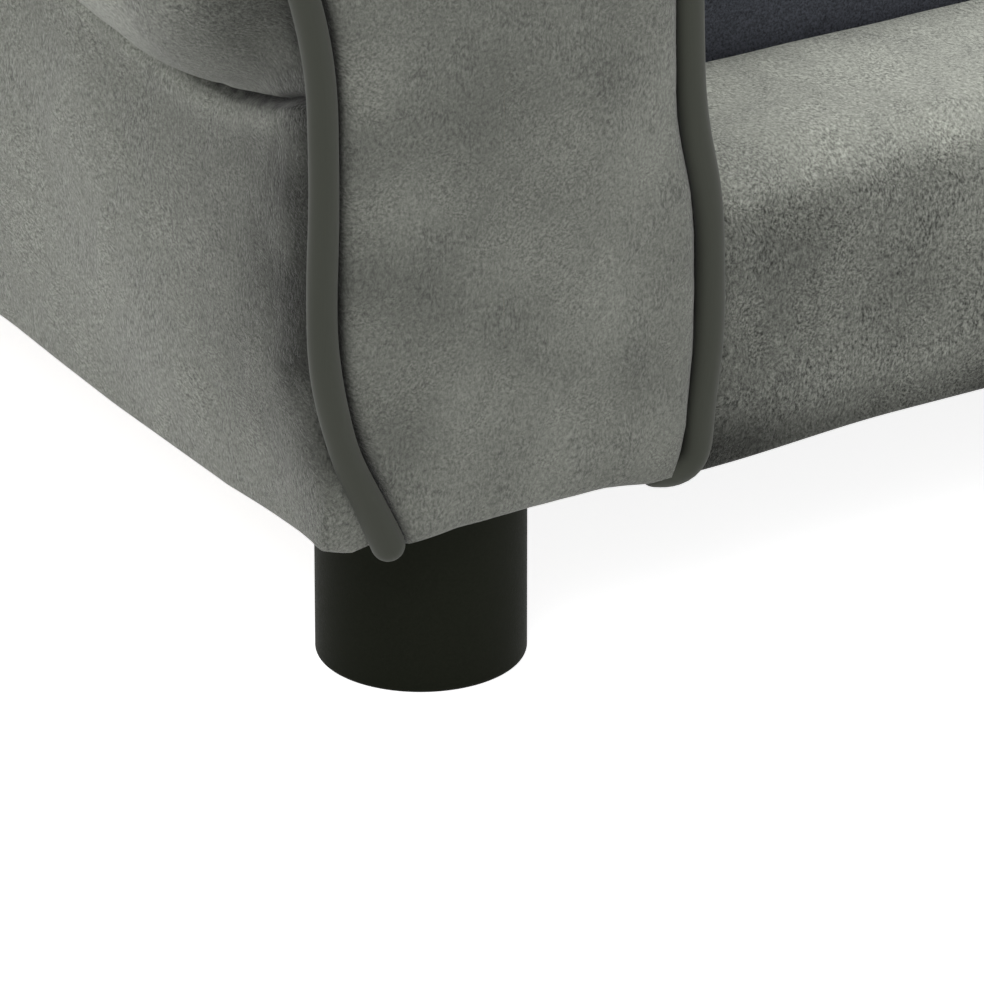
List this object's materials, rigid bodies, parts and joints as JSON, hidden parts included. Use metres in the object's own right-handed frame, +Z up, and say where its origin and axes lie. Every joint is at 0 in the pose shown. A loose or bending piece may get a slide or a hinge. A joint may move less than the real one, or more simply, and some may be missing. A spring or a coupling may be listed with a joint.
{
  "type": "dog sofa bed",
  "caption": "Small upholstered pet sofa with padded roll arms, an arched padded back, short round legs and a lift-out seat cushion with a zipped cover.",
  "frame": {"origin": "on the floor under the middle of the sofa", "axes": "+X to the sitter's left seen from the back, that is to the viewer's right seen from the front, -Y towards the open front, +Z up"},
  "size_m": [0.72, 0.45, 0.3],
  "materials": {
    "plush": "soft short pile",
    "dark_cloth": "fine woven",
    "piping_cloth": "smooth woven",
    "foam": "open-cell foam",
    "dust_cloth": "non-woven",
    "leg_plastic": "fine matte",
    "plywood": "raw",
    "softwood": "raw",
    "hardboard": "raw",
    "stud_steel": "zinc plated",
    "nut_steel": "zinc plated",
    "zip_tape": "woven tape with moulded teeth",
    "zip_metal": "satin"
  },
  "bodies": {
    "sofa": {"back_board": "plywood", "back_cover": "plush", "back_foam": "foam", "back_top_rail": "softwood", "base_board": "plywood", "deck_board": "plywood", "deck_cover": "dark_cloth", "dust_cover": "dust_cloth", "front_left_leg": "leg_plastic", "front_left_leg_stud": "stud_steel", "front_left_tee_nut": "nut_steel", "front_right_leg": "leg_plastic", "front_right_leg_stud": "stud_steel", "front_right_tee_nut": "nut_steel", "left_arm_front_board": "plywood", "left_arm_front_cover": "plush", "left_arm_front_foam": "foam", "left_arm_inner_board": "hardboard", "left_arm_outer_board": "hardboard", "left_arm_piping": "piping_cloth", "left_arm_rear_board": "plywood", "left_arm_roll_cover": "plush", "left_arm_roll_foam": "foam", "left_arm_side_cover": "plush", "left_arm_side_foam": "foam", "left_arm_top_rail": "softwood", "left_deck_batten": "softwood", "rail_board": "softwood", "rail_cover": "plush", "rail_foam": "foam", "rear_cover": "plush", "rear_left_leg": "leg_plastic", "rear_left_leg_stud": "stud_steel", "rear_left_tee_nut": "nut_steel", "rear_right_leg": "leg_plastic", "rear_right_leg_stud": "stud_steel", "rear_right_tee_nut": "nut_steel", "right_arm_front_board": "plywood", "right_arm_front_cover": "plush", "right_arm_front_foam": "foam", "right_arm_inner_board": "hardboard", "right_arm_outer_board": "hardboard", "right_arm_piping": "piping_cloth", "right_arm_rear_board": "plywood", "right_arm_roll_cover": "plush", "right_arm_roll_foam": "foam", "right_arm_side_cover": "plush", "right_arm_side_foam": "foam", "right_arm_top_rail": "softwood", "right_deck_batten": "softwood"},
    "cushion": {"cushion_foam": "foam", "cushion_top": "plush", "cushion_border": "dark_cloth", "cushion_base": "dark_cloth", "cushion_piping": "piping_cloth", "zip_tape_upper": "zip_tape", "zip_tape_lower": "zip_tape"},
    "zip_slider": {"zip_slider": "zip_metal"},
    "zip_pull": {"zip_pull": "zip_metal"}
  },
  "joints": [
    {"name": "cushion_lift", "type": "slide", "parent": "sofa", "child": "cushion", "axis": [0, 0, 1], "range_m": [0, 0.22]},
    {"name": "zip_run", "type": "slide", "parent": "cushion", "child": "zip_slider", "axis": [-1, 0, 0], "range_m": [0, 0.3]},
    {"name": "pull_turn", "type": "hinge", "parent": "zip_slider", "child": "zip_pull", "pos_m": [0.1515, 0.14005, 0.1138], "axis": [0, 0, 1], "range_deg": [0, 28]}
  ]
}
